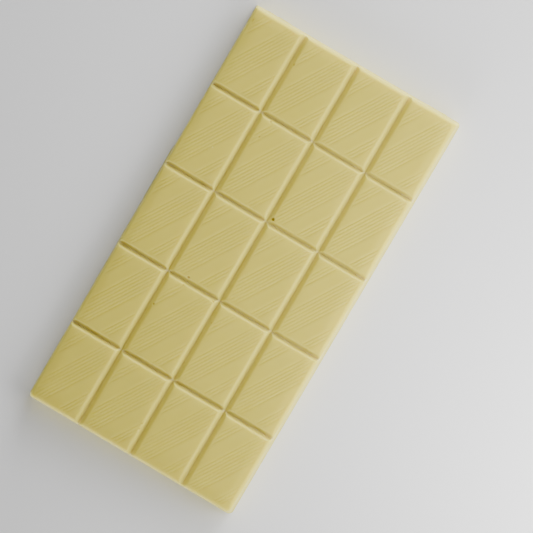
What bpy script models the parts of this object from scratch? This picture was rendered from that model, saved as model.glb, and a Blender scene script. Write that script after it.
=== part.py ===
"""A white chocolate bar, four tiles wide and five long, lying on its flat back.

Everything is in metres with +Z up. The origin is at the centre of the flat back. +X runs across
the bar and +Y along it, and the moulded face with its grooves and ribs looks up.
"""

import math

import bmesh
import bpy
from mathutils import Vector

MM = 0.001

# Driving dimensions of the moulded block, without the flash round its foot
WIDTH = 77.7 * MM
LENGTH = 149.3 * MM
HEIGHT = 7.2 * MM
DRAFT = math.radians(5.5)
TOP_ROUND = 0.5 * MM
TOP_ROUND_STEPS = 3

# Corner radii seen from above: the two ends of the bar aren't alike
CORNER_RADII = {
    "right_far": 1.0 * MM,
    "left_far": 0.5 * MM,
    "left_near": 1.5 * MM,
    "right_near": 1.5 * MM,
}
CORNER_STEPS = 4

# The grid of tiles: distance between grooves, and how far the whole grid lies off the bar's middle
COLUMNS = 4
ROWS = 5
COLUMN_PITCH = 19.8 * MM
ROW_PITCH = 30.3 * MM
COLUMN_SHIFT = 0.25 * MM
ROW_SHIFT = -0.35 * MM

# V grooves: those along the bar are a little wider than those across it
LONG_GROOVE_WIDTH = 2.5 * MM
CROSS_GROOVE_WIDTH = 2.3 * MM
GROOVE_DEPTH = 1.7 * MM
GROOVE_FLOOR = 0.3 * MM
GROOVE_SHOULDER = 0.5 * MM
SHOULDER_STEPS = 2
CUT_CLEARANCE = 0.2 * MM
CUT_OVERRUN = 3.0 * MM

# Engraved ribs run up each tile to the right, in a middle band and two corner bands
RIB_ANGLE = math.radians(58.3)
RIB_PITCH = 1.043 * MM
RIB_WIDTH = 0.66 * MM
RIB_DEPTH = 0.14 * MM
RIB_TAPER = 1.0 * MM
RIB_MARGIN = 0.12 * MM
RIB_NUMBERS = [-10, -9, -8, *range(-3, 4), 8, 9, 10]
RIB_SHIFT = Vector((0.16 * MM, -0.1 * MM))

# Flash: a thin lip round the foot. Its wider stretches are (start, reach there, end, reach there),
# with start and end as x on the far side and y on the left side.
FLASH_HEIGHT = 0.32 * MM
FLASH_EDGE = 0.2 * MM
FLASH_RAMP = 0.4 * MM
FLASH_REACH = {"right": 0.25 * MM, "far": 0.2 * MM, "left": 0.15 * MM, "near": 0.22 * MM}
FLASH_STRETCHES = {
    "right": [],
    "far": [
        (-34.8 * MM, 0.48 * MM, -31.8 * MM, 0.36 * MM),
        (-30.8 * MM, 0.53 * MM, -26.0 * MM, 0.3 * MM),
        (24.8 * MM, 0.28 * MM, 29.0 * MM, 0.42 * MM),
        (30.0 * MM, 0.36 * MM, 33.2 * MM, 0.5 * MM),
    ],
    "left": [
        (-31.5 * MM, 0.26 * MM, -0.8 * MM, 0.3 * MM),
        (0.4 * MM, 0.4 * MM, 20.8 * MM, 0.43 * MM),
    ],
    "near": [],
}

# The three largest air bubbles that broke open in the mould, as (x, y, diameter)
PITS = [
    (1.9 * MM, 16.6 * MM, 0.9 * MM),
    (-12.4 * MM, -13.9 * MM, 0.6 * MM),
    (-12.6 * MM, -17.0 * MM, 0.6 * MM),
]
# Share of its diameter by which a bubble's centre stands above the surface
PIT_RISE = 0.1
PIT_DIVISIONS = 2

# Pale creamy yellow, in linear light
WHITE_CHOCOLATE = (0.60, 0.52, 0.26, 1.0)
ROUGHNESS = 0.42


def clear_scene():
    for obj in list(bpy.data.objects):
        bpy.data.objects.remove(obj, do_unlink=True)


def chocolate_material():
    material = bpy.data.materials.new("white_chocolate")
    material.use_nodes = True
    shader = material.node_tree.nodes["Principled BSDF"]
    shader.inputs["Base Color"].default_value = WHITE_CHOCOLATE
    shader.inputs["Roughness"].default_value = ROUGHNESS
    shader.inputs["Metallic"].default_value = 0.0
    return material


def object_from(bm, name):
    """Puts the finished shape into the scene as a named object, with its faces turned out."""
    mesh = bpy.data.meshes.new(name)
    bmesh.ops.recalc_face_normals(bm, faces=bm.faces)
    bm.to_mesh(mesh)
    bm.free()
    obj = bpy.data.objects.new(name, mesh)
    bpy.context.scene.collection.objects.link(obj)
    return obj


def side_flash(side):
    """Flash along one side as (place, reach), wherever its reach changes."""
    plain = FLASH_REACH[side]
    stations = []
    for start, start_reach, end, end_reach in FLASH_STRETCHES[side]:
        stations.append((start - FLASH_RAMP, plain))
        stations.append((start, start_reach))
        stations.append((end, end_reach))
        stations.append((end + FLASH_RAMP, plain))
    return stations


def outline(inset, flash_share):
    """Points anticlockwise round the block, inset from its foot and moved out by a share of the flash."""
    half_x = WIDTH / 2 - inset
    half_y = LENGTH / 2 - inset
    corners = [
        ("right_far", "right", "far", 1, 1, 0.0),
        ("left_far", "far", "left", -1, 1, 90.0),
        ("left_near", "left", "near", -1, -1, 180.0),
        ("right_near", "near", "right", 1, -1, 270.0),
    ]
    points = []
    for name, before, after, sign_x, sign_y, turn in corners:
        radius = CORNER_RADII[name]
        centre = Vector((sign_x * (half_x - radius), sign_y * (half_y - radius)))
        for step in range(CORNER_STEPS + 1):
            share = step / CORNER_STEPS
            angle = math.radians(turn + 90.0 * share)
            reach = (1 - share) * FLASH_REACH[before] + share * FLASH_REACH[after]
            arc = (radius + flash_share * reach) * Vector((math.cos(angle), math.sin(angle)))
            points.append(centre + arc)
        points += side_points(after, half_x, half_y, flash_share)
    return points


def side_points(side, half_x, half_y, flash_share):
    """The points between two corners, where the flash changes its reach."""
    along_x = side in ("far", "near")
    stations = side_flash(side)
    if side in ("far", "left"):
        stations.reverse()
    points = []
    for place, reach in stations:
        out = flash_share * reach
        if along_x:
            sign = 1 if side == "far" else -1
            points.append(Vector((place, sign * (half_y + out))))
        else:
            sign = 1 if side == "right" else -1
            points.append(Vector((sign * (half_x + out), place)))
    return points


def wall_profile():
    """(height, inset, share of the flash) of each ring, from the foot to the flat top."""
    rings = [
        (0.0, 0.0, 1.0),
        (FLASH_EDGE, 0.0, 1.0),
        (FLASH_HEIGHT, 0.0, 0.0),
    ]
    wall_top = HEIGHT - TOP_ROUND * (1 - math.sin(DRAFT))
    wall_inset = (wall_top - FLASH_HEIGHT) * math.tan(DRAFT)
    for step in range(TOP_ROUND_STEPS + 1):
        angle = DRAFT + (math.pi / 2 - DRAFT) * step / TOP_ROUND_STEPS
        height = HEIGHT - TOP_ROUND * (1 - math.sin(angle))
        inset = wall_inset + TOP_ROUND * (math.cos(DRAFT) - math.cos(angle))
        rings.append((height, inset, 0.0))
    return rings


def flat_inset():
    """How far the flat top lies inside the foot."""
    return wall_profile()[-1][1]


def make_block():
    """The solid block with drafted walls, a rounded top edge and flash round its foot."""
    bm = bmesh.new()
    rings = []
    for height, inset, flash_share in wall_profile():
        ring = [bm.verts.new((p.x, p.y, height)) for p in outline(inset, flash_share)]
        rings.append(ring)
    for lower, upper in zip(rings, rings[1:]):
        for k in range(len(lower)):
            after = (k + 1) % len(lower)
            bm.faces.new((lower[k], lower[after], upper[after], upper[k]))
    bm.faces.new(reversed(rings[0]))
    bm.faces.new(rings[-1])
    return object_from(bm, "chocolate_bar")


def shoulder_run(width):
    """How far a groove's rounded shoulder reaches past its sharp edge."""
    slope = math.atan2(GROOVE_DEPTH, (width - GROOVE_FLOOR) / 2)
    return GROOVE_SHOULDER * math.tan(slope / 2)


def half_profile(width):
    """One side of a groove as (distance from its middle, height), from the top down."""
    slope = math.atan2(GROOVE_DEPTH, (width - GROOVE_FLOOR) / 2)
    start = width / 2 + shoulder_run(width)
    points = []
    for step in range(SHOULDER_STEPS + 1):
        angle = slope * step / SHOULDER_STEPS
        away = start - GROOVE_SHOULDER * math.sin(angle)
        down = GROOVE_SHOULDER * (1 - math.cos(angle))
        points.append((away, HEIGHT - down))
    (away_1, height_1), (away_2, height_2) = points[:2]
    spread = CUT_CLEARANCE * (away_1 - away_2) / (height_1 - height_2)
    points[0] = (away_1 + spread, height_1 + CUT_CLEARANCE)
    points.append((GROOVE_FLOOR / 2, HEIGHT - GROOVE_DEPTH))
    return points


def add_groove(bm, width, middle, half_run, along_y):
    """A prism with the groove's section, running past both ends of the block."""
    side = half_profile(width)
    section = [(middle - away, height) for away, height in side]
    section += [(middle + away, height) for away, height in reversed(side)]
    ends = []
    for run in (-half_run, half_run):
        end = []
        for across, height in section:
            place = (across, run, height) if along_y else (run, across, height)
            end.append(bm.verts.new(place))
        ends.append(end)
    first, last = ends
    for k in range(len(section)):
        after = (k + 1) % len(section)
        bm.faces.new((first[k], first[after], last[after], last[k]))
    bm.faces.new(first)
    bm.faces.new(reversed(last))


def groove_places(count, pitch, shift):
    """Where the grooves between this many tiles lie."""
    return [(k + 1 - count / 2) * pitch + shift for k in range(count - 1)]


def make_long_grooves():
    bm = bmesh.new()
    for x in groove_places(COLUMNS, COLUMN_PITCH, COLUMN_SHIFT):
        add_groove(bm, LONG_GROOVE_WIDTH, x, LENGTH / 2 + CUT_OVERRUN, along_y=True)
    return object_from(bm, "long_groove_cutter")


def make_cross_grooves():
    bm = bmesh.new()
    for y in groove_places(ROWS, ROW_PITCH, ROW_SHIFT):
        add_groove(bm, CROSS_GROOVE_WIDTH, y, WIDTH / 2 + CUT_OVERRUN, along_y=False)
    return object_from(bm, "cross_groove_cutter")


def flat_spans(count, pitch, shift, size, groove_width):
    """(low, middle, high) of each tile along one axis: its flat top's ends and its place in the grid."""
    grooves = groove_places(count, pitch, shift)
    reach = groove_width / 2 + shoulder_run(groove_width)
    lows = [-size / 2 + flat_inset()] + [g + reach for g in grooves]
    middles = [(k - (count - 1) / 2) * pitch for k in range(count)]
    highs = [g - reach for g in grooves] + [size / 2 - flat_inset()]
    return list(zip(lows, middles, highs))


def rib_direction():
    return Vector((math.cos(RIB_ANGLE), math.sin(RIB_ANGLE)))


def chord(centre, offset, low, high):
    """Start and end of the line at this offset from the tile's diagonal, inside its flat top."""
    direction = rib_direction()
    across = Vector((-direction.y, direction.x))
    base = centre + offset * across
    start = -math.inf
    end = math.inf
    for axis in range(2):
        limits = sorted(
            (
                (low[axis] - base[axis]) / direction[axis],
                (high[axis] - base[axis]) / direction[axis],
            )
        )
        start = max(start, limits[0])
        end = min(end, limits[1])
    return base + start * direction, base + end * direction


def add_rib(bm, centre, offset, low, high):
    """A boat-shaped cutter: its ends follow the tile's edges, and its keel rises to them."""
    direction = rib_direction()
    right = chord(centre, offset - RIB_WIDTH / 2, low, high)
    left = chord(centre, offset + RIB_WIDTH / 2, low, high)
    middle = chord(centre, offset, low, high)
    rim = [right[0], right[1], left[1], left[0]]
    keel = [middle[0] + RIB_TAPER * direction, middle[1] - RIB_TAPER * direction]
    lid = [bm.verts.new((p.x, p.y, HEIGHT + CUT_CLEARANCE)) for p in rim]
    edge = [bm.verts.new((p.x, p.y, HEIGHT)) for p in rim]
    bottom = [bm.verts.new((p.x, p.y, HEIGHT - RIB_DEPTH)) for p in keel]
    bm.faces.new(lid)
    for k in range(4):
        after = (k + 1) % 4
        bm.faces.new((edge[k], edge[after], lid[after], lid[k]))
    bm.faces.new((edge[0], bottom[0], bottom[1], edge[1]))
    bm.faces.new((edge[2], bottom[1], bottom[0], edge[3]))
    bm.faces.new((edge[1], bottom[1], edge[2]))
    bm.faces.new((edge[3], bottom[0], edge[0]))


def make_ribs():
    """The engraved ribs of every tile, each clear of the next."""
    bm = bmesh.new()
    margin = Vector((RIB_MARGIN, RIB_MARGIN))
    columns = flat_spans(COLUMNS, COLUMN_PITCH, COLUMN_SHIFT, WIDTH, LONG_GROOVE_WIDTH)
    rows = flat_spans(ROWS, ROW_PITCH, ROW_SHIFT, LENGTH, CROSS_GROOVE_WIDTH)
    for low_x, middle_x, high_x in columns:
        for low_y, middle_y, high_y in rows:
            low = Vector((low_x, low_y)) + margin
            high = Vector((high_x, high_y)) - margin
            middle = Vector((middle_x, middle_y)) + RIB_SHIFT
            for number in RIB_NUMBERS:
                add_rib(bm, middle, number * RIB_PITCH, low, high)
    return object_from(bm, "rib_cutter")


def make_pits():
    """Small rounded dimples, each a little under half a ball deep."""
    bm = bmesh.new()
    for x, y, diameter in PITS:
        centre = Vector((x, y, HEIGHT + PIT_RISE * diameter))
        made = bmesh.ops.create_icosphere(bm, subdivisions=PIT_DIVISIONS, radius=diameter / 2)
        bmesh.ops.translate(bm, verts=made["verts"], vec=centre)
    return object_from(bm, "pit_cutter")


def cut(block, cutter):
    """Takes the cutter's shape out of the block, and keeps the cutter as a hidden guide."""
    cutter.hide_render = True
    cutter.display_type = "WIRE"
    boolean = block.modifiers.new(cutter.name, "BOOLEAN")
    boolean.operation = "DIFFERENCE"
    boolean.solver = "EXACT"
    boolean.object = cutter


def main():
    clear_scene()
    bar = make_block()
    bar.data.materials.append(chocolate_material())
    cut(bar, make_long_grooves())
    cut(bar, make_cross_grooves())
    cut(bar, make_ribs())
    cut(bar, make_pits())


main()
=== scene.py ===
import math

import bpy
import numpy as np
from mathutils import Matrix, Vector, geometry, noise


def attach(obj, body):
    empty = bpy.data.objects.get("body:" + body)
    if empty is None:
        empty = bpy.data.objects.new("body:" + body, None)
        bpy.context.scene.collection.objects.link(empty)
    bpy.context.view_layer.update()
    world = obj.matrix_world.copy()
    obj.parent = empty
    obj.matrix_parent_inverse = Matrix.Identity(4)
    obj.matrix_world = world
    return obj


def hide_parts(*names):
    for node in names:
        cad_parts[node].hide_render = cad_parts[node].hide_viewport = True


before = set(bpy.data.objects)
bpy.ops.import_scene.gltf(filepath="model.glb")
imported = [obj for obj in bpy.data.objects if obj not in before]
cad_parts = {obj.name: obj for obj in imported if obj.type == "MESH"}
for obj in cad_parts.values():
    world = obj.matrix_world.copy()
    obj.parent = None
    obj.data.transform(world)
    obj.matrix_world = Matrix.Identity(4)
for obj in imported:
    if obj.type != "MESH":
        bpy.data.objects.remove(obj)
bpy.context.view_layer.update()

MM = 0.001

# The moulded block, in millimetres. Its walls are drafted and its four corners rounded
WIDTH = 77.7
LENGTH = 149.3
HEIGHT = 7.2
DRAFT = math.radians(5.5)
TOP_ROUND = 1.2
CORNER_RADII = {(1, 1): 1.0, (-1, 1): 0.5, (-1, -1): 1.5, (1, -1): 1.5}

# The grooves between the tiles. Across each way of the bar: how many tiles, their pitch, and how
# far the grid lies off the middle. For each groove: its width and depth, how softly its shoulders
# and floor bend, in height, how far the tiles roll off towards it, and how much extra blue is
# painted into its bottom as painted shade colour, standing in for cool fill light there
LONG_GROOVE = {
    "tiles": 4, "pitch": 19.8, "shift": 0.36, "span": WIDTH,
    "width": 2.6, "depth": 1.65, "shoulder": 0.8, "floor": 0.35, "roll": 0.1, "pale": 1.6,
}
CROSS_GROOVE = {
    "tiles": 5, "pitch": 30.3, "shift": -0.35, "span": LENGTH,
    "width": 2.3, "depth": 1.4, "shoulder": 0.5, "floor": 0.7, "roll": 0.18, "pale": 2.3,
}

# The width of a groove's flat floor before it is softened, and the share of its depth from which
# its painted shade colour (extra blue, so paler) begins
GROOVE_FLOOR = 0.3
PALE_FROM = 0.5

# How softly a long groove's walls bend into a cross groove's
CREASE_BEND = 0.25

# The fine ribs, in three groups numbered from the tile's diagonal, fade out at the tile's edges
RIB_ANGLE = math.radians(58.3)
RIB_PITCH = 1.043
RIB_WIDTH = 0.7
RIB_DEPTH = 0.15
RIB_FADE = 0.35
RIB_GROUPS = ((-10, -8), (-3, 3), (8, 10))
RIB_NUMBERS = [number for first, last in RIB_GROUPS for number in range(first, last + 1)]

# How far the ribs lie off the middle of each tile's cell
RIB_SHIFT = np.array([0.16, -0.1])

# The thin flash round the foot: its usual reach on each side, and the wider stretches, each as
# (start, reach there, end, reach there), with a short ramp at either end
FLASH_HEIGHT = 0.32
FLASH_RAMP = 0.4
FLASH_REACH = {"right": 0.25, "far": 0.2, "left": 0.15, "near": 0.22}
FLASH_STRETCHES = {
    "right": [],
    "far": [
        (-34.8, 0.48, -31.8, 0.36),
        (-30.8, 0.53, -26.0, 0.3),
        (24.8, 0.28, 29.0, 0.42),
        (30.0, 0.36, 33.2, 0.5),
    ],
    "left": [
        (-31.5, 0.26, -0.8, 0.3),
        (0.4, 0.4, 20.8, 0.43),
    ],
    "near": [],
}

# Open air bubbles, as (x, y, diameter, depth, how much painted shade inside)
PITS = [
    (1.9, 16.6, 1.2, 0.6, 0.82),
    (-12.4, -13.9, 0.95, 0.5, 0.85),
    (-12.6, -17.0, 0.6, 0.25, 0.6),
    (-17.9, -27.3, 0.7, 0.35, 0.8),
    (-1.4, -16.8, 0.6, 0.25, 0.6),
    (-15.7, 37.75, 0.6, 0.2, 0.6),
    (-15.0, 43.9, 0.65, 0.3, 0.7),
    (-17.9, 63.9, 0.6, 0.2, 0.65),
    (-1.2, -63.2, 0.55, 0.2, 0.5),
    (-1.1, -65.2, 0.55, 0.2, 0.5),
    (-37.0, 69.9, 0.6, 0.12, 0.6),
    (-37.05, 69.4, 0.5, 0.1, 0.5),
    (-22.9, 42.75, 0.55, 0.12, 0.3),
    (1.7, -23.0, 0.55, 0.15, 0.4),
    (-1.0, -50.7, 0.5, 0.1, 0.25),
]

# A pale grain on the surface, as (x, y, diameter, height)
GRAIN = (-27.3, 27.0, 0.42, 0.07)

# What the marks do to the colour: painted shade makes the bubbles golden and darker out to near
# their rims, and the grain is whiter
PIT_SHADE_TINT = (0.78, 0.67, 0.38)
GRAIN_TINT = (1.2, 1.26, 3.2)
TINT_SPREAD = 1.6

# The mesh round a mark, as shares of its diameter: how far the old triangles are taken up, from
# where their points stay, and how far the new points go. Then, in millimetres, the new points'
# spacing and how near and how high up the old triangles are looked for
MARK_PATCH = 0.75
MARK_KEEP = 0.66
MARK_RINGS = 0.6
MARK_STEP = 0.08
MARK_SEARCH = 4.0
MARK_LOWEST = 3.0

# Points across the flash, each as (share of its reach, share of its height)
FLASH_RINGS = ((0.5, 0.93), (0.88, 0.78), (1.0, 0.5), (0.97, 0.2), (0.85, 0.0))

# The flat rim that the bar lies on starts this far inside the foot. Inside it the back is a
# little hollow and rippled, from the first distance from the foot to the second, where it is full
RIM_INSET = 0.6
BACK_MARGIN = 2.0
BACK_HOLLOW = 0.05
BACK_RIPPLE = 0.08
HOLLOW_FROM, HOLLOW_TO = 0.5, 7.0

# The moulded faces lie this much lower than the block's, to leave room for their unevenness, and
# the walls wave sideways by about this much
SURFACE_SINK = 0.025
WALL_WAVE = 0.03

# Waves of noise, each as (size, seed): over the faces, sideways in the walls, along the flash and
# on the back
BROAD_WAVE, FINE_WAVE = (9.0, 3.1), (2.5, 7.7)
BROAD_HEIGHT, FINE_HEIGHT = 0.02, 0.008
WALL_WAVE_X, WALL_WAVE_Y = (14.0, 11.3), (14.0, 21.9)
FINE_RAGS, BROAD_RAGS = (1.7, 5.2), (5.0, 1.2)
FINE_RAG_SHARE, BROAD_RAG_SHARE = 0.3, 0.25
FLASH_SWELL, FLASH_SWELL_SHARE = (3.0, 9.0), 0.15
RIPPLES = (6.0, 2.2)

# Each tile's flat top rolls off a little towards its edges: from how far in, how far down at the
# bar's outer edges, and how far past the flat's edge the roll goes on
GROOVE_ROLL_REACH = 1.5
OUTER_ROLL = 0.42
OUTER_ROLL_REACH = 2.5
ROLL_OVERLAP = 0.6

# How fine the mesh is, in millimetres: round the flat tile tops, along the ribs and near their
# ends, across the grooves' walls and floors, across the blank stripes and over the back. The rows
# along the ribs go on a margin past the tile's corners. No row comes nearer to a flat top's edge
# than the guard, and the shortest runs are left out
GRID_STEP = 1.0
RIB_STEP = 1.4
END_STEPS = (0.4, 0.9)
WALL_STEP = 0.15
FLOOR_STEPS = (0.0, 0.09, 0.18, 0.3)
BLANK_STEP = 0.8
BACK_STEP = 1.6
ROW_MARGIN = 1.0
FLAT_GUARD = 0.12
SHORTEST_RUN = 0.3

# How many mesh lines go up the outer wall and round its top edge, and where they lie across a rib,
# as shares of half its width
WALL_LINES = 8
ROUND_LINES = 10
RIB_SHARES = (-1.0, -0.66, -0.33, 0.0, 0.33, 0.66, 1.0)

# How far along the sides and how far in from them the corners' rounding reaches, the first as
# times their radius, and the radius below which a corner counts as sharp
CORNER_REACH = 2.5
CORNER_DEPTH = 5.0
SHARP_CORNER = 0.01

# Points closer than this are one, in the tile tops and in the patches
TOP_MERGE = 1e-4
PATCH_MERGE = 1e-5

# The chocolate's two clouded tones, and its smoothest and roughest gloss
DEEP_TONE = (0.690, 0.597, 0.095, 1.0)
PALE_TONE = (0.718, 0.621, 0.102, 1.0)
GLOSS = (0.36, 0.48)

# The camera, in millimetres, and the bar's middle in the image, in pixels
PIXEL = 0.33
IMAGE_SIDE = 533
CAMERA_DISTANCE = 1800.0
SENSOR = 36.0
TILT_RIGHT = math.radians(3.15)
TILT_FAR = math.radians(1.9)
ROLL = math.radians(30.49)
BAR_CENTRE_PIXEL = (243.8, 259.9)

# The floor, in metres: half its side, and how far it lies below the bar
FLOOR_REACH = 3.0
FLOOR_GAP = 0.0001


def soft_positive(value, reach):
    """The value where positive and 0 where negative, with a rounded bend between."""
    bend = (value + reach) ** 2 / (4 * reach)
    return np.where(value > reach, value, np.where(value < -reach, 0.0, bend))


def soft_larger(a, b, reach):
    """The larger of two values, with a rounded bend where they cross."""
    return b + soft_positive(a - b, reach)


def smooth_step(value, low, high):
    """Runs smoothly from 0 at low to 1 at high."""
    t = np.clip((value - low) / (high - low), 0.0, 1.0)
    return t * t * (3 - 2 * t)


def groove_places(groove):
    """Where the grooves of one kind lie across the bar."""
    middle = groove["tiles"] / 2
    return [(k + 1 - middle) * groove["pitch"] + groove["shift"] for k in range(groove["tiles"] - 1)]


def steepness(groove):
    """Rise to run of a groove's walls."""
    return 2 * groove["depth"] / (groove["width"] - GROOVE_FLOOR)


def groove_drop(away, groove):
    """How far a groove lies below the flat top at this distance from its middle."""
    wall = (groove["width"] / 2 - np.abs(away)) * steepness(groove)
    open_top = soft_positive(wall, groove["shoulder"])
    return groove["depth"] - soft_positive(groove["depth"] - open_top, groove["floor"])


WALL_TOP = HEIGHT - TOP_ROUND * (1 - math.sin(DRAFT))
WALL_INSET = (WALL_TOP - FLASH_HEIGHT) * math.tan(DRAFT)
FLAT_INSET = WALL_INSET + TOP_ROUND * math.cos(DRAFT)


def wall_drop(inset):
    """How far the outer wall lies below the flat top at this inset from its foot."""
    wall = HEIGHT - FLASH_HEIGHT - inset / math.tan(DRAFT)
    run = np.clip((FLAT_INSET - inset) / TOP_ROUND, 0.0, 1.0)
    arc = TOP_ROUND * (1 - np.sqrt(1 - run**2))
    return np.where(inset < WALL_INSET, wall, arc)


def shoulder_reach(groove):
    """Distance from a groove's middle at which the top is flat again."""
    return groove["width"] / 2 + groove["shoulder"] / steepness(groove)


def groove_offsets(groove):
    """Mesh lines across half a groove, close together where it bends."""
    start, reach = FLOOR_STEPS[-1], shoulder_reach(groove)
    steps = round((reach - start) / WALL_STEP)
    return np.concatenate([FLOOR_STEPS, np.linspace(start, reach, steps + 1)[1:]])


def edge_offsets():
    """Mesh lines in from the foot: up the drafted wall, then round its top edge."""
    wall = np.linspace(0.0, WALL_INSET, WALL_LINES)
    turns = np.linspace(DRAFT, math.pi / 2, ROUND_LINES + 1)[1:]
    arc = WALL_INSET + TOP_ROUND * (math.cos(DRAFT) - np.cos(turns))
    return np.concatenate([wall, arc])


def mesh_lines(groove):
    """Every mesh line across the bar one way, and the first and last line of each flat tile top."""
    half = groove["span"] / 2
    lines = list(-half + edge_offsets())
    spans = []
    offsets = groove_offsets(groove)
    flat_start = lines[-1]
    for middle in groove_places(groove) + [None]:
        flat_end = half - FLAT_INSET if middle is None else middle - offsets[-1]
        first = len(lines) - 1
        steps = round((flat_end - flat_start) / GRID_STEP)
        lines += list(np.linspace(flat_start, flat_end, steps + 1)[1:])
        spans.append((first, len(lines) - 1))
        if middle is None:
            lines += list(half - edge_offsets()[::-1][1:])
        else:
            lines += list(middle - offsets[::-1][1:])
            lines += list(middle + offsets[1:])
            flat_start = lines[-1]
    return np.array(lines), spans


def corner_warp(x, y):
    """Moves points near the bar's four corners so that the square rings turn into rounded ones."""
    half_x, half_y = WIDTH / 2, LENGTH / 2
    in_x, in_y = half_x - abs(x), half_y - abs(y)
    ring = min(in_x, in_y)
    side = (1 if x > 0 else -1, 1 if y > 0 else -1)
    radius = CORNER_RADII[side] * (1 - float(smooth_step(ring, FLAT_INSET, CORNER_DEPTH)))
    if radius < SHARP_CORNER:
        return x, y
    reach = CORNER_REACH * radius
    along = abs(in_x - in_y)
    if along >= reach:
        return x, y
    eighth = radius * math.pi / 4
    run = along / reach * (eighth + reach - radius)
    if run < eighth:
        turn = math.radians(225) + run / radius
        far, near = radius + radius * math.cos(turn), radius + radius * math.sin(turn)
    else:
        far, near = radius + run - eighth, 0.0
    new_x, new_y = (ring + far, ring + near) if in_x > in_y else (ring + near, ring + far)
    return side[0] * (half_x - new_x), side[1] * (half_y - new_y)


def top_drop(x, y):
    """How far the moulded surface lies below its flat top, without the ribs."""
    long_drop = np.zeros_like(x)
    for middle in groove_places(LONG_GROOVE):
        long_drop = np.maximum(long_drop, groove_drop(x - middle, LONG_GROOVE))
    cross_drop = np.zeros_like(x)
    for middle in groove_places(CROSS_GROOVE):
        cross_drop = np.maximum(cross_drop, groove_drop(y - middle, CROSS_GROOVE))
    grooves = np.where(
        (long_drop > 0) & (cross_drop > 0),
        soft_larger(long_drop, cross_drop, CREASE_BEND),
        long_drop + cross_drop,
    )
    inset = np.minimum(WIDTH / 2 - np.abs(x), LENGTH / 2 - np.abs(y))
    return np.maximum(wall_drop(inset), grooves)


def roll_off(x, y):
    """How far the tile tops roll off towards the grooves and the outer edges."""
    total = np.zeros_like(x)
    for across, groove in ((x, LONG_GROOVE), (y, CROSS_GROOVE)):
        reach = shoulder_reach(groove)
        for middle in groove_places(groove):
            away = np.abs(across - middle) - reach
            total += groove["roll"] * (1 - smooth_step(away, -ROLL_OVERLAP, GROOVE_ROLL_REACH))
        away = groove["span"] / 2 - np.abs(across) - FLAT_INSET
        total += OUTER_ROLL * (1 - smooth_step(away, -ROLL_OVERLAP, OUTER_ROLL_REACH))
    return total


def rib_rows(low, high):
    """Offsets of the mesh lines along the ribs of one tile, from its diagonal."""
    half = (high - low) / 2
    widest = half[0] * math.sin(RIB_ANGLE) + half[1] * math.cos(RIB_ANGLE) + ROW_MARGIN
    rows = []
    for number in RIB_NUMBERS:
        for share in RIB_SHARES:
            rows.append(number * RIB_PITCH + share * RIB_WIDTH / 2)
    start = -widest
    for first, last in (*RIB_GROUPS, (None, None)):
        end = widest if first is None else first * RIB_PITCH - RIB_WIDTH / 2
        steps = max(2, round((end - start) / BLANK_STEP))
        rows += list(np.linspace(start, end, steps + 1)[1:-1])
        if last is not None:
            start = last * RIB_PITCH + RIB_WIDTH / 2
    return sorted(rows)


def rib_depth(offset):
    """Depth of the ribs at this offset from the tile's diagonal."""
    number = round(offset / RIB_PITCH)
    share = abs(offset / RIB_PITCH - number) * RIB_PITCH / (RIB_WIDTH / 2)
    if number not in RIB_NUMBERS or share >= 1:
        return 0.0
    return RIB_DEPTH * math.cos(share * math.pi / 2) ** 2


def chord(base, direction, low, high):
    """Where a line enters and leaves a rectangle."""
    ways = []
    for k in range(2):
        ways.append(sorted(((low[k] - base[k]) / direction[k], (high[k] - base[k]) / direction[k])))
    return max(way[0] for way in ways), min(way[1] for way in ways)


def tile_surface(loop, low, high, centre):
    """Fills a tile's flat top inside its loop of mesh points."""
    inner_low, inner_high = low + FLAT_GUARD, high - FLAT_GUARD
    direction = np.array([math.cos(RIB_ANGLE), math.sin(RIB_ANGLE)])
    across = np.array([-direction[1], direction[0]])
    points = [Vector(p) for p in loop]
    edges = [(k, (k + 1) % len(loop)) for k in range(len(loop))]
    for offset in rib_rows(low, high):
        base = centre + offset * across
        start, end = chord(base, direction, inner_low, inner_high)
        if end - start < SHORTEST_RUN:
            continue
        runs = [start, end]
        if end - start > 3 * END_STEPS[1]:
            first_step = math.ceil((start + END_STEPS[1] + RIB_STEP / 3) / RIB_STEP)
            last_step = math.floor((end - END_STEPS[1] - RIB_STEP / 3) / RIB_STEP)
            inner = np.arange(first_step, last_step + 1) * RIB_STEP
            near_start = start + np.array(END_STEPS)
            near_end = end - np.array(END_STEPS[::-1])
            runs = [start, *near_start, *inner, *near_end, end]
        first = len(points)
        points += [Vector(base + run * direction) for run in runs]
        edges += [(k, k + 1) for k in range(first, len(points) - 1)]
    made = geometry.delaunay_2d_cdt(points, edges, [], 1, TOP_MERGE)
    heights = []
    for place in made[0]:
        offset = float((np.array(place) - centre) @ across)
        edge = min(place.x - low[0], high[0] - place.x, place.y - low[1], high[1] - place.y)
        heights.append(HEIGHT - rib_depth(offset) * float(smooth_step(edge, 0.0, RIB_FADE)))
    found = [min(source) if source else len(loop) for source in made[3]]
    return made[0], heights, made[2], found


def outline_reach(x, y):
    """The flash's reach at this point of the foot."""
    if LENGTH / 2 - abs(y) < WIDTH / 2 - abs(x):
        side, place = ("far" if y > 0 else "near"), x
    else:
        side, place = ("right" if x > 0 else "left"), y
    plain = FLASH_REACH[side]
    stations = [(-LENGTH, plain)]
    for start, start_reach, end, end_reach in FLASH_STRETCHES[side]:
        stations.append((start - FLASH_RAMP, plain))
        stations += [(start, start_reach), (end, end_reach)]
        stations.append((end + FLASH_RAMP, plain))
    stations.append((LENGTH, plain))
    return float(np.interp(place, [s[0] for s in stations], [s[1] for s in stations]))


def wave(x, y, z, size, seed):
    """Smooth noise between about -1 and 1."""
    return noise.noise(Vector((x / size + seed, y / size - seed, z / size)))


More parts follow.
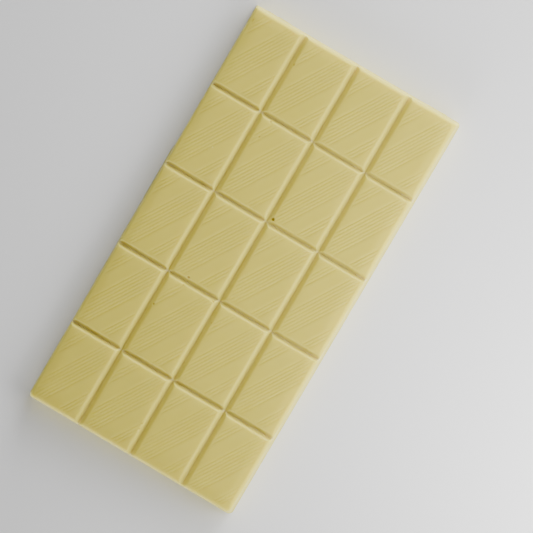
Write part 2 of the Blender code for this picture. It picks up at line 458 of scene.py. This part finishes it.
def make_top():
    """The moulded face and the drafted walls: points, triangles and the loop round the foot."""
    xs, x_spans = mesh_lines(LONG_GROOVE)
    ys, y_spans = mesh_lines(CROSS_GROOVE)
    grid_x, grid_y = np.meshgrid(xs, ys, indexing="ij")
    drop = top_drop(grid_x, grid_y)
    number = np.full(grid_x.shape, -1)
    in_flat = np.zeros((len(xs) - 1, len(ys) - 1), bool)
    hidden = np.zeros(grid_x.shape, bool)
    for x0, x1 in x_spans:
        for y0, y1 in y_spans:
            in_flat[x0:x1, y0:y1] = True
            hidden[x0 + 1 : x1, y0 + 1 : y1] = True
    points = []
    for i, j in zip(*np.where(~hidden)):
        number[i, j] = len(points)
        points.append((grid_x[i, j], grid_y[i, j], HEIGHT - drop[i, j]))
    long_middles = np.array(groove_places(LONG_GROOVE))
    cross_middles = np.array(groove_places(CROSS_GROOVE))
    faces = []
    for i, j in zip(*np.where(~in_flat)):
        a, b, c, d = number[i, j], number[i + 1, j], number[i + 1, j + 1], number[i, j + 1]
        mid_x, mid_y = (xs[i] + xs[i + 1]) / 2, (ys[j] + ys[j + 1]) / 2
        from_x = mid_x - long_middles[np.abs(long_middles - mid_x).argmin()]
        from_y = mid_y - cross_middles[np.abs(cross_middles - mid_y).argmin()]
        near_edge = WIDTH / 2 - abs(mid_x) < FLAT_INSET and LENGTH / 2 - abs(mid_y) < FLAT_INSET
        rising = mid_x * mid_y > 0 if near_edge else from_x * from_y > 0
        faces += [(a, b, c), (a, c, d)] if rising else [(a, b, d), (b, c, d)]
    for column, (x0, x1) in enumerate(x_spans):
        for row, (y0, y1) in enumerate(y_spans):
            ring = [(i, y0) for i in range(x0, x1)] + [(x1, j) for j in range(y0, y1)]
            ring += [(i, y1) for i in range(x1, x0, -1)] + [(x0, j) for j in range(y1, y0, -1)]
            loop = [(xs[i], ys[j]) for i, j in ring]
            low, high = np.array([xs[x0], ys[y0]]), np.array([xs[x1], ys[y1]])
            cell_x = (column - (len(x_spans) - 1) / 2) * LONG_GROOVE["pitch"]
            cell_y = (row - (len(y_spans) - 1) / 2) * CROSS_GROOVE["pitch"]
            centre = np.array([cell_x, cell_y]) + RIB_SHIFT
            places, heights, tile_faces, found = tile_surface(loop, low, high, centre)
            index = []
            for place, height, source in zip(places, heights, found):
                if source < len(ring):
                    index.append(number[ring[source]])
                else:
                    index.append(len(points))
                    points.append((place.x, place.y, height))
            faces += [tuple(index[k] for k in face) for face in tile_faces]
    last_x, last_y = len(xs) - 1, len(ys) - 1
    foot = [number[i, 0] for i in range(last_x)] + [number[last_x, j] for j in range(last_y)]
    foot += [number[i, last_y] for i in range(last_x, 0, -1)] + [number[0, j] for j in range(last_y, 0, -1)]
    return points, faces, foot


def unevenness(x, y, z):
    """A slight waviness of the moulded faces."""
    return BROAD_HEIGHT * wave(x, y, z, *BROAD_WAVE) + FINE_HEIGHT * wave(x, y, z, *FINE_WAVE)


def near_faces(spots, corners, middle, reach):
    """Which of the moulded face's triangles come within reach of a place, seen from above."""
    flat = spots[corners][:, :, :2] - middle
    ends = np.roll(flat, -1, axis=1)
    runs = ends - flat
    share = np.clip(-(flat * runs).sum(axis=2) / np.maximum((runs**2).sum(axis=2), 1e-12), 0.0, 1.0)
    away = np.linalg.norm(flat + share[:, :, None] * runs, axis=2).min(axis=1)
    turns = flat[:, :, 0] * ends[:, :, 1] - flat[:, :, 1] * ends[:, :, 0]
    inside = (turns > 0).all(axis=1)
    return inside | (away < reach)


def height_at(place, patch):
    """Height of the old triangles at a place."""
    best = None
    for a, b, c in patch:
        area = (b[0] - a[0]) * (c[1] - a[1]) - (b[1] - a[1]) * (c[0] - a[0])
        if abs(area) < 1e-9:
            continue
        u = ((place[0] - a[0]) * (c[1] - a[1]) - (place[1] - a[1]) * (c[0] - a[0])) / area
        v = ((b[0] - a[0]) * (place[1] - a[1]) - (b[1] - a[1]) * (place[0] - a[0])) / area
        outside = max(-u, -v, u + v - 1)
        if best is None or outside < best[0]:
            best = (outside, a[2] + u * (b[2] - a[2]) + v * (c[2] - a[2]))
    return best[1]


def groove_shade_tints(spots):
    """The colour of each point of the mesh, with painted shade colour (more blue, so paler) towards the
    bottoms of the grooves.
    """
    tints = np.ones((len(spots), 3))
    for across, groove in ((spots[:, 0], LONG_GROOVE), (spots[:, 1], CROSS_GROOVE)):
        for middle in groove_places(groove):
            # Painted shade colour: the deeper in the groove, the more blue
            share = groove_drop(across - middle, groove) / groove["depth"]
            pale = 1 + smooth_step(share, PALE_FROM, 1.0) * (groove["pale"] - 1)
            tints[:, 2] = np.maximum(tints[:, 2], pale)
    tints[spots[:, 2] < HEIGHT / 2] = 1.0
    return tints


def press_marks(placed, faces):
    """Works the open bubbles, with painted shade inside, and the grain into the moulded face. Returns
    points, faces and tints.
    """
    spots = np.array(placed)
    corners = np.array(faces)
    tints = groove_shade_tints(spots)
    marks = [(x, y, diameter, -depth, painted_shade) for x, y, diameter, depth, painted_shade in PITS]
    marks.append((*GRAIN, 1.0))
    for x, y, diameter, rise, strength in marks:
        middle = np.array([x, y])
        firsts = spots[corners[:, 0]]
        near = np.abs(firsts[:, :2] - middle).max(axis=1) < MARK_SEARCH
        close = np.where(near & (firsts[:, 2] > MARK_LOWEST))[0]
        chosen = close[near_faces(spots, corners[close], middle, MARK_PATCH * diameter)]
        patch = corners[chosen]
        sides = {(int(face[k]), int(face[k - 2])) for face in patch for k in range(3)}
        rim = [side for side in sides if (side[1], side[0]) not in sides]
        rim.sort()
        kept = []
        for k in np.unique(patch):
            if np.hypot(*(spots[k, :2] - middle)) > MARK_KEEP * diameter:
                kept.append(int(k))
        where = {k: n for n, k in enumerate(kept)}
        added = []
        for radius in np.arange(0.0, MARK_RINGS * diameter, MARK_STEP):
            count = max(1, round(math.tau * radius / MARK_STEP))
            for k in range(count):
                turn = (k + radius / MARK_STEP / 2) * math.tau / count
                added.append(middle + radius * np.array([math.cos(turn), math.sin(turn)]))
        old_faces = [[spots[k] for k in face] for face in patch]
        new_spots = []
        for place in added:
            share = float(np.hypot(*(place - middle))) / (diameter / 2)
            dome = math.sqrt(max(0.0, 1 - min(1.0, share) ** 2))
            new_spots.append((*place, min(HEIGHT, height_at(place, old_faces) + rise * dome)))
            # Bubbles get painted shade; the grain gets its own whiter colour
            tint = GRAIN_TINT if rise > 0 else PIT_SHADE_TINT
            tinted = strength * min(1.0, TINT_SPREAD * dome)
            tints = np.vstack([tints, [1 + tinted * (value - 1) for value in tint]])
        flat = [Vector(spots[k, :2]) for k in kept] + [Vector(place) for place in added]
        loop = [(where[a], where[b]) for a, b in rim]
        made = geometry.delaunay_2d_cdt(flat, loop, [], 1, PATCH_MERGE)
        index = []
        for source in made[3]:
            first = min(source)
            index.append(kept[first] if first < len(kept) else len(spots) + first - len(kept))
        spots = np.vstack([spots, new_spots])
        fresh = [tuple(index[k] for k in face) for face in made[2]]
        corners = np.vstack([np.delete(corners, chosen, axis=0), fresh])
    used, corners = np.unique(corners, return_inverse=True)
    return spots[used], corners.reshape(-1, 3), tints[used]


def settle(points):
    """Rounds the corners, rolls the tile tops off and adds the waviness of a moulding."""
    placed = []
    for x, y, z in points:
        new_x, new_y = corner_warp(x, y)
        placed.append(Vector((new_x, new_y, z)))
    rolls = roll_off(np.array([p.x for p in placed]), np.array([p.y for p in placed]))
    for place, roll in zip(placed, rolls):
        flat = place.copy()
        above = flat.z - FLASH_HEIGHT
        raised = min(1.0, above)
        sunk = flat.z - roll * above / (HEIGHT - FLASH_HEIGHT) - SURFACE_SINK
        place.z = min(HEIGHT, sunk + unevenness(*flat) * raised)
        place.x += WALL_WAVE * wave(*flat, *WALL_WAVE_X) * raised
        place.y += WALL_WAVE * wave(*flat, *WALL_WAVE_Y) * raised
    return placed


def add_flash(placed, foot):
    """Adds rings of points out from the foot, round the thin ragged lip. Returns all the rings."""
    rings = [foot]
    normals = []
    for k, here in enumerate(foot):
        along = placed[foot[(k + 1) % len(foot)]] - placed[foot[k - 1]]
        normals.append(Vector((along.y, -along.x, 0.0)).normalized())
    for share, height in FLASH_RINGS:
        ring = []
        for here, normal in zip(foot, normals):
            x, y = placed[here].xy
            ragged = 1 - FINE_RAG_SHARE * abs(wave(x, y, 0.0, *FINE_RAGS))
            ragged -= BROAD_RAG_SHARE * abs(wave(x, y, 0.0, *BROAD_RAGS))
            place = placed[here] + normal * outline_reach(x, y) * ragged * share
            swell = 1 - FLASH_SWELL_SHARE + FLASH_SWELL_SHARE * wave(x, y, 0.0, *FLASH_SWELL)
            place.z = height * FLASH_HEIGHT * swell
            ring.append(len(placed))
            placed.append(place)
        rings.append(ring)
    return rings


def add_back(placed, points, foot):
    """Adds the poured back, a faintly rippled and slightly hollow face inside a flat rim."""
    rim = []
    for here in foot:
        x, y = points[here][:2]
        x, y = corner_warp(x * (1 - 2 * RIM_INSET / WIDTH), y * (1 - 2 * RIM_INSET / LENGTH))
        rim.append(len(placed))
        placed.append(Vector((x, y, 0.0)))
    inner = []
    half_x, half_y = WIDTH / 2 - BACK_MARGIN, LENGTH / 2 - BACK_MARGIN
    for x in np.linspace(-half_x, half_x, round(2 * half_x / BACK_STEP)):
        for y in np.linspace(-half_y, half_y, round(2 * half_y / BACK_STEP)):
            inner.append(Vector((x, y)))
    loop = [(k, (k + 1) % len(rim)) for k in range(len(rim))]
    flat = [placed[k].to_2d() for k in rim] + inner
    made = geometry.delaunay_2d_cdt(flat, loop, [], 1, PATCH_MERGE)
    index = []
    for place, source in zip(made[0], made[3]):
        if min(source) < len(rim):
            index.append(rim[min(source)])
            continue
        index.append(len(placed))
        edge = min(WIDTH / 2 - abs(place.x), LENGTH / 2 - abs(place.y))
        ripple = 0.5 + 0.5 * wave(place.x, place.y, 0.0, *RIPPLES)
        inward = float(smooth_step(edge, HOLLOW_FROM, HOLLOW_TO))
        hollow = inward * (BACK_HOLLOW + BACK_RIPPLE * ripple)
        placed.append(Vector((place.x, place.y, hollow)))
    return rim, [tuple(index[k] for k in reversed(face)) for face in made[2]]


def make_bar():
    """The whole bar as one closed mesh, with the tint of each point."""
    points, faces, foot = make_top()
    placed = settle(points)
    rings = add_flash(placed, foot)
    rim, back = add_back(placed, points, foot)
    rings.append(rim)
    for lower, upper in zip(rings[1:], rings):
        for k in range(len(foot)):
            after = (k + 1) % len(foot)
            faces.append((lower[k], lower[after], upper[after]))
            faces.append((lower[k], upper[after], upper[k]))
    spots, corners, tints = press_marks(placed, faces + back)
    mesh = bpy.data.meshes.new("white_chocolate_bar")
    mesh.from_pydata((spots * MM).tolist(), [], corners.tolist())
    tint = mesh.color_attributes.new("tint", "FLOAT_COLOR", "POINT")
    tint.data.foreach_set("color", np.hstack([tints, np.ones((len(tints), 1))]).ravel())
    mesh.validate()
    mesh.shade_smooth()
    bar = bpy.data.objects.new("white_chocolate_bar", mesh)
    bpy.context.scene.collection.objects.link(bar)
    return bar


def chocolate_material():
    """Satin, slightly translucent white chocolate with faint clouds of colour and a fine skin."""
    material = bpy.data.materials.new("satin_white_chocolate")
    material.use_nodes = True
    nodes, links = material.node_tree.nodes, material.node_tree.links
    shader = nodes["Principled BSDF"]
    shader.inputs["IOR"].default_value = 1.45
    shader.inputs["Specular IOR Level"].default_value = 0.15
    shader.inputs["Sheen Weight"].default_value = 0.04
    shader.inputs["Sheen Roughness"].default_value = 0.5
    shader.inputs["Subsurface Weight"].default_value = 1.0
    shader.inputs["Subsurface Radius"].default_value = (0.9, 0.88, 1.2)
    shader.inputs["Subsurface Scale"].default_value = 3.4 * MM

    place = nodes.new("ShaderNodeTexCoord")

    def noise_node(size, detail, roughness):
        """Noise in the bar's own place, of a size in millimetres."""
        node = nodes.new("ShaderNodeTexNoise")
        node.inputs["Scale"].default_value = 1 / (size * MM)
        node.inputs["Detail"].default_value = detail
        node.inputs["Roughness"].default_value = roughness
        links.new(place.outputs["Object"], node.inputs["Vector"])
        return node

    clouds = noise_node(11.0, 3.0, 0.55)
    ramp = nodes.new("ShaderNodeValToRGB")
    ramp.color_ramp.elements[0].position = 0.3
    ramp.color_ramp.elements[0].color = DEEP_TONE
    ramp.color_ramp.elements[1].position = 0.7
    ramp.color_ramp.elements[1].color = PALE_TONE
    links.new(clouds.outputs["Fac"], ramp.inputs["Fac"])

    # The tint attribute multiplies the base colour: painted shade colour in the groove bottoms and in the
    # bubbles, and the grain's own whiter colour
    tint = nodes.new("ShaderNodeAttribute")
    tint.attribute_name = "tint"
    tinted = nodes.new("ShaderNodeMix")
    tinted.data_type = "RGBA"
    tinted.blend_type = "MULTIPLY"
    tinted.inputs["Factor"].default_value = 1.0
    links.new(ramp.outputs["Color"], tinted.inputs["A"])
    links.new(tint.outputs["Color"], tinted.inputs["B"])
    links.new(tinted.outputs["Result"], shader.inputs["Base Color"])

    patches = noise_node(4.0, 4.0, 0.6)
    gloss = nodes.new("ShaderNodeMapRange")
    gloss.inputs["From Min"].default_value = 0.3
    gloss.inputs["From Max"].default_value = 0.7
    gloss.inputs["To Min"].default_value = GLOSS[0]
    gloss.inputs["To Max"].default_value = GLOSS[1]
    links.new(patches.outputs["Fac"], gloss.inputs["Value"])
    links.new(gloss.outputs["Result"], shader.inputs["Roughness"])

    skin = noise_node(0.6, 5.0, 0.65)
    bump = nodes.new("ShaderNodeBump")
    bump.inputs["Strength"].default_value = 0.25
    bump.inputs["Distance"].default_value = 0.03 * MM
    links.new(skin.outputs["Fac"], bump.inputs["Height"])
    links.new(bump.outputs["Normal"], shader.inputs["Normal"])
    return material


def make_floor():
    """The plain pale floor."""
    mesh = bpy.data.meshes.new("floor")
    signs = ((-1, -1), (1, -1), (1, 1), (-1, 1))
    corners = [(x * FLOOR_REACH, y * FLOOR_REACH, -FLOOR_GAP) for x, y in signs]
    mesh.from_pydata(corners, [], [(0, 1, 2, 3)])
    floor = bpy.data.objects.new("floor", mesh)
    bpy.context.scene.collection.objects.link(floor)
    material = bpy.data.materials.new("pale_floor")
    material.use_nodes = True
    shader = material.node_tree.nodes["Principled BSDF"]
    shader.inputs["Base Color"].default_value = (0.9, 0.9, 0.9, 1.0)
    shader.inputs["Roughness"].default_value = 0.8
    shader.inputs["Emission Color"].default_value = (1.0, 1.0, 1.0, 1.0)
    shader.inputs["Emission Strength"].default_value = 0.02
    floor.data.materials.append(material)


def image_axes():
    """Right and up of the image, in the bar's plane."""
    up = Vector((-math.sin(ROLL), math.cos(ROLL), 0.0))
    right = Vector((math.cos(ROLL), math.sin(ROLL), 0.0))
    return right, up


def make_camera():
    """The camera, far off and nearly overhead, as in the photograph."""
    right, up = image_axes()
    off_right = (IMAGE_SIDE / 2 - BAR_CENTRE_PIXEL[0]) * PIXEL * MM
    off_up = (BAR_CENTRE_PIXEL[1] - IMAGE_SIDE / 2) * PIXEL * MM
    target = off_right * right + off_up * up
    away = Vector((math.tan(TILT_RIGHT), math.tan(TILT_FAR), 1.0)).normalized()
    data = bpy.data.cameras.new("camera")
    data.sensor_width = SENSOR
    data.sensor_fit = "HORIZONTAL"
    data.lens = data.sensor_width * CAMERA_DISTANCE / (IMAGE_SIDE * PIXEL)
    data.clip_start = 0.01
    data.clip_end = 10.0
    camera = bpy.data.objects.new("camera", data)
    camera.location = target + away * CAMERA_DISTANCE * MM
    x_axis = up.cross(away).normalized()
    y_axis = away.cross(x_axis)
    camera.rotation_euler = Matrix((x_axis, y_axis, away)).transposed().to_euler()
    bpy.context.scene.collection.objects.link(camera)
    bpy.context.scene.camera = camera


def direction(azimuth, elevation):
    """Unit vector towards a light, from its angles in degrees."""
    turn, rise = math.radians(azimuth), math.radians(elevation)
    return Vector((math.cos(turn) * math.cos(rise), math.sin(turn) * math.cos(rise), math.sin(rise)))


def add_light(name, kind, azimuth, elevation, strength):
    """A light that shines at the bar's middle."""
    data = bpy.data.lights.new(name, kind)
    data.energy = strength
    light = bpy.data.objects.new(name, data)
    light.rotation_euler = (-direction(azimuth, elevation)).to_track_quat("-Z", "Y").to_euler()
    bpy.context.scene.collection.objects.link(light)
    return light


def add_panel(name, azimuth, elevation, distance, size, power):
    """A soft square light panel aimed at the bar."""
    light = add_light(name, "AREA", azimuth, elevation, power)
    light.data.shape = "SQUARE"
    light.data.size = size
    light.location = direction(azimuth, elevation) * distance


def add_glow(name, azimuth, elevation, strength):
    """Broad soft light from far off."""
    light = add_light(name, "SUN", azimuth, elevation, strength)
    light.data.angle = math.radians(40)


def make_lights():
    """Soft studio light: strongest from the right, with low glows on the far and near edges."""
    add_panel("right_panel", azimuth=0, elevation=28, distance=0.2, size=0.16, power=0.49)
    add_panel("key_panel", azimuth=30, elevation=35, distance=0.24, size=0.2, power=0.18)
    add_panel("far_panel", azimuth=75, elevation=20, distance=0.45, size=0.35, power=2.4)
    add_glow("near_glow", azimuth=270, elevation=5, strength=5.6)
    add_glow("far_glow", azimuth=90, elevation=5, strength=5.2)
    world = bpy.data.worlds.new("studio")
    world.use_nodes = True
    world.node_tree.nodes["Background"].inputs["Color"].default_value = (1.0, 1.0, 1.0, 1.0)
    world.node_tree.nodes["Background"].inputs["Strength"].default_value = 0.03
    bpy.context.scene.world = world


bar = make_bar()
bar.data.materials.append(chocolate_material())
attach(bar, "root")
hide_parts("chocolate_bar")
make_floor()
make_lights()
make_camera()
